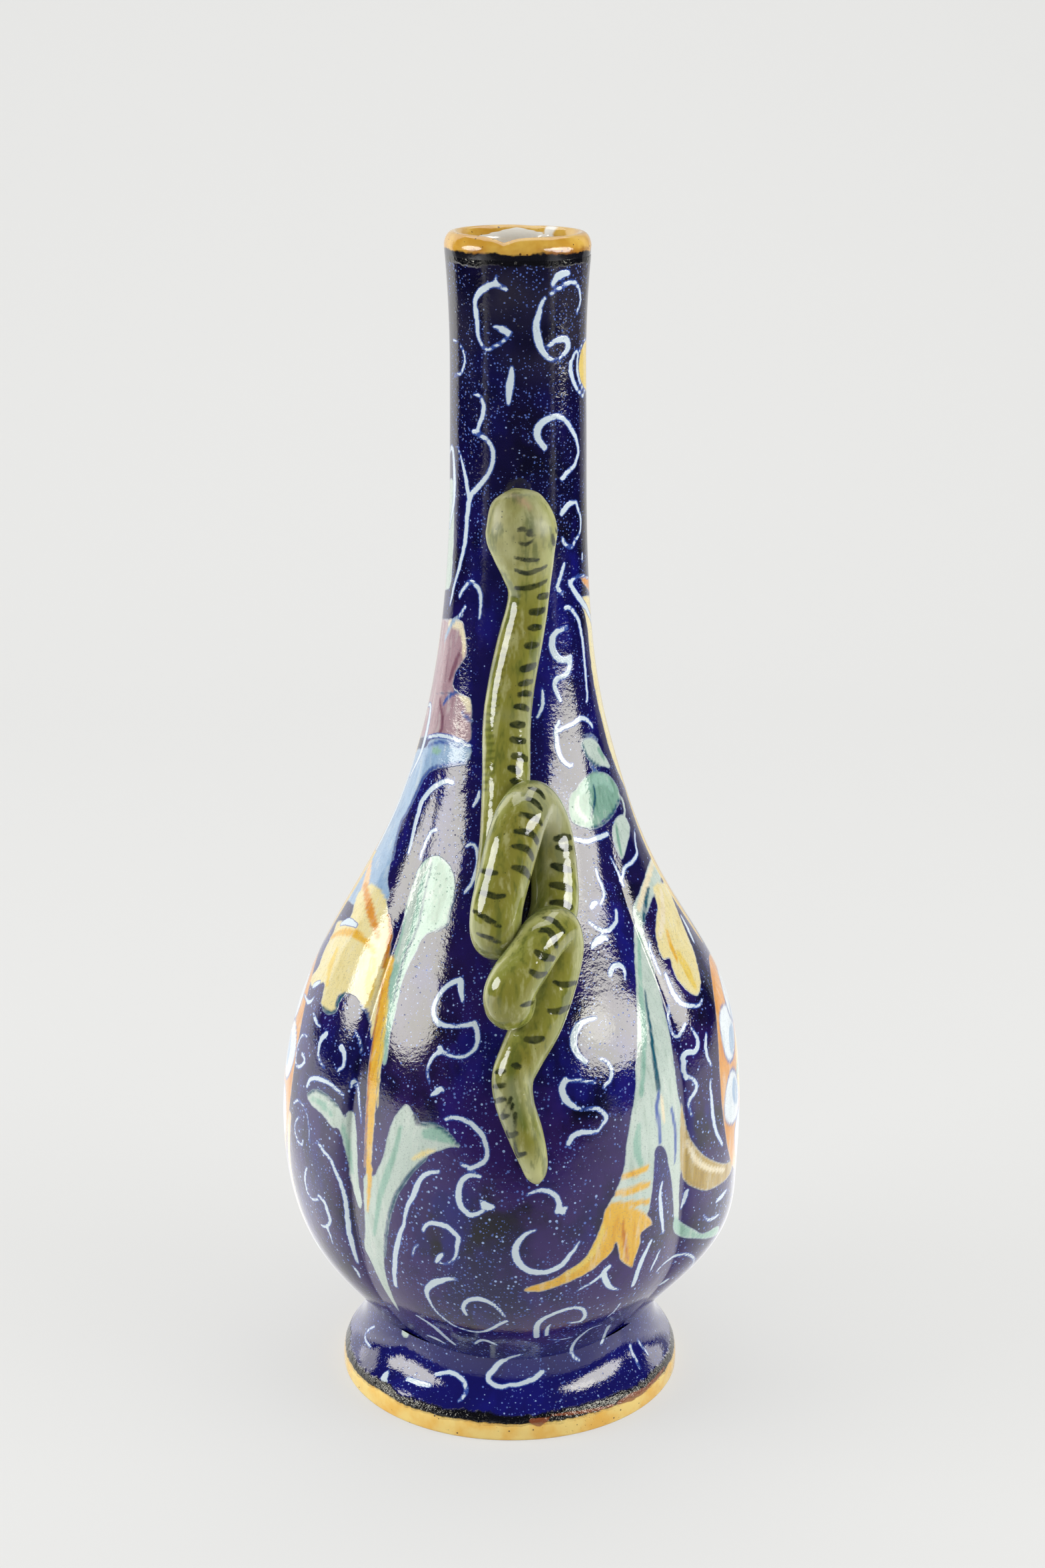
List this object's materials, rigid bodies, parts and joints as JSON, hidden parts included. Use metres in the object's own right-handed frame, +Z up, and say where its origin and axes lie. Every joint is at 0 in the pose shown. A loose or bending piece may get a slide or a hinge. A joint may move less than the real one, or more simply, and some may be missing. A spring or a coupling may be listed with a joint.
{
  "type": "ceramic vase",
  "caption": "Lobed tin-glazed bottle vase with a slender neck, rolled lip, flared foot and coiled snakes applied as handles.",
  "frame": {"origin": "centre of the foot's underside, on the table", "axes": "+Z up along the vase's axis; the two snakes lie on -Y and +Y, with -Y the side shown in the picture"},
  "size_m": [0.1482, 0.1658, 0.37],
  "materials": {
    "painted_glaze": "glossy tin glaze painted in dark blue with white, green, yellow and orange ornament",
    "white_glaze": "glossy white tin glaze",
    "yellow_glaze": "glossy tin glaze painted yellow",
    "green_glaze": "glossy olive-green glaze with dark dashes"
  },
  "bodies": {
    "root": {"foot_ring": "painted_glaze", "floor_slab": "white_glaze", "body_half_left": "painted_glaze", "body_half_right": "painted_glaze", "lip_left": "yellow_glaze", "lip_right": "yellow_glaze", "snake_front": "green_glaze", "snake_back": "green_glaze"}
  },
  "joints": []
}
